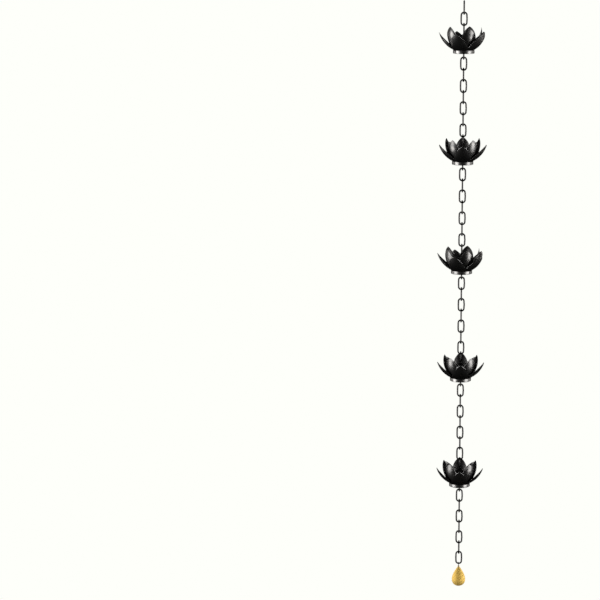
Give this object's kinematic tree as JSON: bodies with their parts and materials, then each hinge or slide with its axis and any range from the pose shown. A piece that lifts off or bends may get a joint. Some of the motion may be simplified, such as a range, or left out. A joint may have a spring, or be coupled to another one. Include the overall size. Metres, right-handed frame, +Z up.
{
  "type": "rain chain",
  "caption": "Hanging rain chain: open lotus cups with two layers of petals on a chain of bent wire links, with a teardrop weight at the bottom.",
  "frame": {"origin": "inside of the top link, where it rests on what it hangs from", "axes": "+Z up along the hanging chain, -Y towards the viewer, X across"},
  "size_m": [0.1092, 0.1094, 1.3594],
  "materials": {
    "petal_black": "satin black powder coat",
    "collar_black": "satin black powder coat, smoother",
    "wire_black": "glossier black coat on wire",
    "brass_drop": "satin golden brass"
  },
  "bodies": {
    "link_01": {"link_01": "wire_black"},
    "link_02": {"link_02": "wire_black"},
    "link_03": {"link_03": "wire_black"},
    "link_04": {"link_04": "wire_black"},
    "cup_1": {"cup_1_collar": "collar_black", "cup_1_petals": "petal_black"},
    "link_06": {"link_06": "wire_black"},
    "link_07": {"link_07": "wire_black"},
    "link_08": {"link_08": "wire_black"},
    "link_09": {"link_09": "wire_black"},
    "link_10": {"link_10": "wire_black"},
    "link_11": {"link_11": "wire_black"},
    "link_12": {"link_12": "wire_black"},
    "link_13": {"link_13": "wire_black"},
    "link_14": {"link_14": "wire_black"},
    "cup_2": {"cup_2_collar": "collar_black", "cup_2_petals": "petal_black"},
    "link_16": {"link_16": "wire_black"},
    "link_17": {"link_17": "wire_black"},
    "link_18": {"link_18": "wire_black"},
    "link_19": {"link_19": "wire_black"},
    "link_20": {"link_20": "wire_black"},
    "link_21": {"link_21": "wire_black"},
    "link_22": {"link_22": "wire_black"},
    "link_23": {"link_23": "wire_black"},
    "link_24": {"link_24": "wire_black"},
    "cup_3": {"cup_3_collar": "collar_black", "cup_3_petals": "petal_black"},
    "link_26": {"link_26": "wire_black"},
    "link_27": {"link_27": "wire_black"},
    "link_28": {"link_28": "wire_black"},
    "link_29": {"link_29": "wire_black"},
    "link_30": {"link_30": "wire_black"},
    "link_31": {"link_31": "wire_black"},
    "link_32": {"link_32": "wire_black"},
    "link_33": {"link_33": "wire_black"},
    "link_34": {"link_34": "wire_black"},
    "cup_4": {"cup_4_collar": "collar_black", "cup_4_petals": "petal_black"},
    "link_36": {"link_36": "wire_black"},
    "link_37": {"link_37": "wire_black"},
    "link_38": {"link_38": "wire_black"},
    "link_39": {"link_39": "wire_black"},
    "link_40": {"link_40": "wire_black"},
    "link_41": {"link_41": "wire_black"},
    "link_42": {"link_42": "wire_black"},
    "link_43": {"link_43": "wire_black"},
    "link_44": {"link_44": "wire_black"},
    "cup_5": {"cup_5_collar": "collar_black", "cup_5_petals": "petal_black"},
    "link_46": {"link_46": "wire_black"},
    "link_47": {"link_47": "wire_black"},
    "link_48": {"link_48": "wire_black"},
    "link_49": {"link_49": "wire_black"},
    "link_50": {"link_50": "wire_black"},
    "link_51": {"link_51": "wire_black"},
    "link_52": {"link_52": "wire_black"},
    "drop_ring": {"drop_ring": "wire_black"},
    "teardrop": {"teardrop": "brass_drop"}
  },
  "joints": [
    {"name": "link_02_swing", "type": "hinge", "parent": "link_01", "child": "link_02", "pos_m": [0, 0, -0.0269], "axis": [0, 1, 0], "range_deg": [-90, 90]},
    {"name": "link_03_swing", "type": "hinge", "parent": "link_02", "child": "link_03", "pos_m": [0, 0, -0.0519], "axis": [-1, 0, 0], "range_deg": [-70, 70]},
    {"name": "link_04_swing", "type": "hinge", "parent": "link_03", "child": "link_04", "pos_m": [0, 0, -0.0769], "axis": [0, -1, 0], "range_deg": [-35, 35]},
    {"name": "cup_1_swing", "type": "hinge", "parent": "link_04", "child": "cup_1", "pos_m": [0, 0, -0.1019], "axis": [1, 0, 0], "range_deg": [-25, 25]},
    {"name": "link_06_swing", "type": "hinge", "parent": "cup_1", "child": "link_06", "pos_m": [0, 0, -0.1269], "axis": [0, 1, 0], "range_deg": [-90, 90]},
    {"name": "link_07_swing", "type": "hinge", "parent": "link_06", "child": "link_07", "pos_m": [0, 0, -0.1519], "axis": [1, 0, 0], "range_deg": [-90, 90]},
    {"name": "link_08_swing", "type": "hinge", "parent": "link_07", "child": "link_08", "pos_m": [0, 0, -0.1769], "axis": [0, -1, 0], "range_deg": [-90, 90]},
    {"name": "link_09_swing", "type": "hinge", "parent": "link_08", "child": "link_09", "pos_m": [0, 0, -0.2019], "axis": [-1, 0, 0], "range_deg": [-90, 90]},
    {"name": "link_10_swing", "type": "hinge", "parent": "link_09", "child": "link_10", "pos_m": [0, 0, -0.2269], "axis": [0, 1, 0], "range_deg": [-90, 90]},
    {"name": "link_11_swing", "type": "hinge", "parent": "link_10", "child": "link_11", "pos_m": [0, 0, -0.2519], "axis": [1, 0, 0], "range_deg": [-90, 90]},
    {"name": "link_12_swing", "type": "hinge", "parent": "link_11", "child": "link_12", "pos_m": [0, 0, -0.2769], "axis": [0, 1, 0], "range_deg": [-90, 90]},
    {"name": "link_13_swing", "type": "hinge", "parent": "link_12", "child": "link_13", "pos_m": [0, 0, -0.3019], "axis": [-1, 0, 0], "range_deg": [-70, 70]},
    {"name": "link_14_swing", "type": "hinge", "parent": "link_13", "child": "link_14", "pos_m": [0, 0, -0.3269], "axis": [0, -1, 0], "range_deg": [-35, 35]},
    {"name": "cup_2_swing", "type": "hinge", "parent": "link_14", "child": "cup_2", "pos_m": [0, 0, -0.3519], "axis": [1, 0, 0], "range_deg": [-25, 25]},
    {"name": "link_16_swing", "type": "hinge", "parent": "cup_2", "child": "link_16", "pos_m": [0, 0, -0.3769], "axis": [0, 1, 0], "range_deg": [-90, 90]},
    {"name": "link_17_swing", "type": "hinge", "parent": "link_16", "child": "link_17", "pos_m": [0, 0, -0.4019], "axis": [1, 0, 0], "range_deg": [-90, 90]},
    {"name": "link_18_swing", "type": "hinge", "parent": "link_17", "child": "link_18", "pos_m": [0, 0, -0.4269], "axis": [0, -1, 0], "range_deg": [-90, 90]},
    {"name": "link_19_swing", "type": "hinge", "parent": "link_18", "child": "link_19", "pos_m": [0, 0, -0.4519], "axis": [-1, 0, 0], "range_deg": [-90, 90]},
    {"name": "link_20_swing", "type": "hinge", "parent": "link_19", "child": "link_20", "pos_m": [0, 0, -0.4769], "axis": [0, 1, 0], "range_deg": [-90, 90]},
    {"name": "link_21_swing", "type": "hinge", "parent": "link_20", "child": "link_21", "pos_m": [0, 0, -0.5019], "axis": [1, 0, 0], "range_deg": [-90, 90]},
    {"name": "link_22_swing", "type": "hinge", "parent": "link_21", "child": "link_22", "pos_m": [0, 0, -0.5269], "axis": [0, 1, 0], "range_deg": [-90, 90]},
    {"name": "link_23_swing", "type": "hinge", "parent": "link_22", "child": "link_23", "pos_m": [0, 0, -0.5519], "axis": [-1, 0, 0], "range_deg": [-70, 70]},
    {"name": "link_24_swing", "type": "hinge", "parent": "link_23", "child": "link_24", "pos_m": [0, 0, -0.5769], "axis": [0, -1, 0], "range_deg": [-35, 35]},
    {"name": "cup_3_swing", "type": "hinge", "parent": "link_24", "child": "cup_3", "pos_m": [0, 0, -0.6019], "axis": [1, 0, 0], "range_deg": [-25, 25]},
    {"name": "link_26_swing", "type": "hinge", "parent": "cup_3", "child": "link_26", "pos_m": [0, 0, -0.6269], "axis": [0, 1, 0], "range_deg": [-90, 90]},
    {"name": "link_27_swing", "type": "hinge", "parent": "link_26", "child": "link_27", "pos_m": [0, 0, -0.6519], "axis": [1, 0, 0], "range_deg": [-90, 90]},
    {"name": "link_28_swing", "type": "hinge", "parent": "link_27", "child": "link_28", "pos_m": [0, 0, -0.6769], "axis": [0, -1, 0], "range_deg": [-90, 90]},
    {"name": "link_29_swing", "type": "hinge", "parent": "link_28", "child": "link_29", "pos_m": [0, 0, -0.7019], "axis": [-1, 0, 0], "range_deg": [-90, 90]},
    {"name": "link_30_swing", "type": "hinge", "parent": "link_29", "child": "link_30", "pos_m": [0, 0, -0.7269], "axis": [0, 1, 0], "range_deg": [-90, 90]},
    {"name": "link_31_swing", "type": "hinge", "parent": "link_30", "child": "link_31", "pos_m": [0, 0, -0.7519], "axis": [1, 0, 0], "range_deg": [-90, 90]},
    {"name": "link_32_swing", "type": "hinge", "parent": "link_31", "child": "link_32", "pos_m": [0, 0, -0.7769], "axis": [0, 1, 0], "range_deg": [-90, 90]},
    {"name": "link_33_swing", "type": "hinge", "parent": "link_32", "child": "link_33", "pos_m": [0, 0, -0.8019], "axis": [-1, 0, 0], "range_deg": [-70, 70]},
    {"name": "link_34_swing", "type": "hinge", "parent": "link_33", "child": "link_34", "pos_m": [0, 0, -0.8269], "axis": [0, -1, 0], "range_deg": [-35, 35]},
    {"name": "cup_4_swing", "type": "hinge", "parent": "link_34", "child": "cup_4", "pos_m": [0, 0, -0.8519], "axis": [1, 0, 0], "range_deg": [-25, 25]},
    {"name": "link_36_swing", "type": "hinge", "parent": "cup_4", "child": "link_36", "pos_m": [0, 0, -0.8769], "axis": [0, 1, 0], "range_deg": [-90, 90]},
    {"name": "link_37_swing", "type": "hinge", "parent": "link_36", "child": "link_37", "pos_m": [0, 0, -0.9019], "axis": [1, 0, 0], "range_deg": [-90, 90]},
    {"name": "link_38_swing", "type": "hinge", "parent": "link_37", "child": "link_38", "pos_m": [0, 0, -0.9269], "axis": [0, -1, 0], "range_deg": [-90, 90]},
    {"name": "link_39_swing", "type": "hinge", "parent": "link_38", "child": "link_39", "pos_m": [0, 0, -0.9519], "axis": [-1, 0, 0], "range_deg": [-90, 90]},
    {"name": "link_40_swing", "type": "hinge", "parent": "link_39", "child": "link_40", "pos_m": [0, 0, -0.9769], "axis": [0, 1, 0], "range_deg": [-90, 90]},
    {"name": "link_41_swing", "type": "hinge", "parent": "link_40", "child": "link_41", "pos_m": [0, 0, -1.0019], "axis": [1, 0, 0], "range_deg": [-90, 90]},
    {"name": "link_42_swing", "type": "hinge", "parent": "link_41", "child": "link_42", "pos_m": [0, 0, -1.0269], "axis": [0, 1, 0], "range_deg": [-90, 90]},
    {"name": "link_43_swing", "type": "hinge", "parent": "link_42", "child": "link_43", "pos_m": [0, 0, -1.0519], "axis": [-1, 0, 0], "range_deg": [-70, 70]},
    {"name": "link_44_swing", "type": "hinge", "parent": "link_43", "child": "link_44", "pos_m": [0, 0, -1.0769], "axis": [0, -1, 0], "range_deg": [-35, 35]},
    {"name": "cup_5_swing", "type": "hinge", "parent": "link_44", "child": "cup_5", "pos_m": [0, 0, -1.1019], "axis": [1, 0, 0], "range_deg": [-25, 25]},
    {"name": "link_46_swing", "type": "hinge", "parent": "cup_5", "child": "link_46", "pos_m": [0, 0, -1.1269], "axis": [0, 1, 0], "range_deg": [-90, 90]},
    {"name": "link_47_swing", "type": "hinge", "parent": "link_46", "child": "link_47", "pos_m": [0, 0, -1.1519], "axis": [1, 0, 0], "range_deg": [-90, 90]},
    {"name": "link_48_swing", "type": "hinge", "parent": "link_47", "child": "link_48", "pos_m": [0, 0, -1.1769], "axis": [0, -1, 0], "range_deg": [-90, 90]},
    {"name": "link_49_swing", "type": "hinge", "parent": "link_48", "child": "link_49", "pos_m": [0, 0, -1.2019], "axis": [-1, 0, 0], "range_deg": [-90, 90]},
    {"name": "link_50_swing", "type": "hinge", "parent": "link_49", "child": "link_50", "pos_m": [0, 0, -1.2269], "axis": [0, 1, 0], "range_deg": [-90, 90]},
    {"name": "link_51_swing", "type": "hinge", "parent": "link_50", "child": "link_51", "pos_m": [0, 0, -1.2519], "axis": [1, 0, 0], "range_deg": [-90, 90]},
    {"name": "link_52_swing", "type": "hinge", "parent": "link_51", "child": "link_52", "pos_m": [0, 0, -1.2769], "axis": [0, 1, 0], "range_deg": [-90, 90]},
    {"name": "drop_ring_swing", "type": "hinge", "parent": "link_52", "child": "drop_ring", "pos_m": [0, 0, -1.3019], "axis": [-1, 0, 0], "range_deg": [-90, 90]},
    {"name": "teardrop_swing", "type": "hinge", "parent": "drop_ring", "child": "teardrop", "pos_m": [0, 0, -1.3097], "axis": [0, -1, 0], "range_deg": [-80, 80]}
  ]
}
